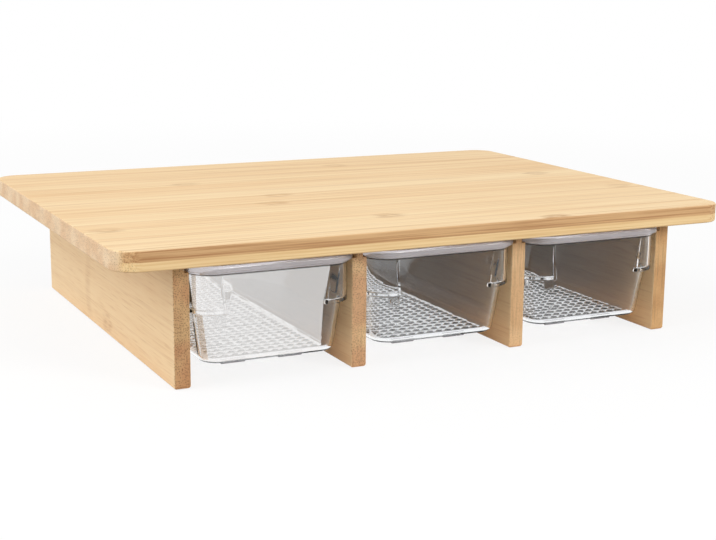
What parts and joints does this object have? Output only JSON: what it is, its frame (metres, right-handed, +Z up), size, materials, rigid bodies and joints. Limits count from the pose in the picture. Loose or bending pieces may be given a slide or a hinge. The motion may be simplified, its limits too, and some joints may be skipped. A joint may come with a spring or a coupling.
{
  "type": "cutting board with drawer trays",
  "caption": "Bamboo cutting board raised on upright panels, with clear moulded trays that hang by their rims and slide out to the front.",
  "frame": {"origin": "on the tabletop, under the middle of the board", "axes": "+X to the right along the front, +Y to the back, +Z up; the trays slide out towards -Y"},
  "size_m": [0.4, 0.3, 0.0815],
  "materials": {
    "bamboo_top": "oiled satin, long bamboo strips along X",
    "bamboo_underlayer": "oiled satin",
    "bamboo_legs": "oiled satin, grain from front to back",
    "clear_plastic": "clear, polished, textured floor"
  },
  "bodies": {
    "board_frame": {"board_top_layer": "bamboo_top", "board_bottom_layer": "bamboo_underlayer", "left_leg": "bamboo_legs", "centre_left_leg": "bamboo_legs", "centre_right_leg": "bamboo_legs", "right_leg": "bamboo_legs"},
    "left_tray": {"left_tray": "clear_plastic"},
    "centre_tray": {"centre_tray": "clear_plastic"},
    "right_tray": {"right_tray": "clear_plastic"}
  },
  "joints": [
    {"name": "left_tray_slide", "type": "slide", "parent": "board_frame", "child": "left_tray", "axis": [0, -1, 0], "range_m": [0, 0.29]},
    {"name": "centre_tray_slide", "type": "slide", "parent": "board_frame", "child": "centre_tray", "axis": [0, -1, 0], "range_m": [0, 0.29]},
    {"name": "right_tray_slide", "type": "slide", "parent": "board_frame", "child": "right_tray", "axis": [0, -1, 0], "range_m": [0, 0.29]}
  ]
}
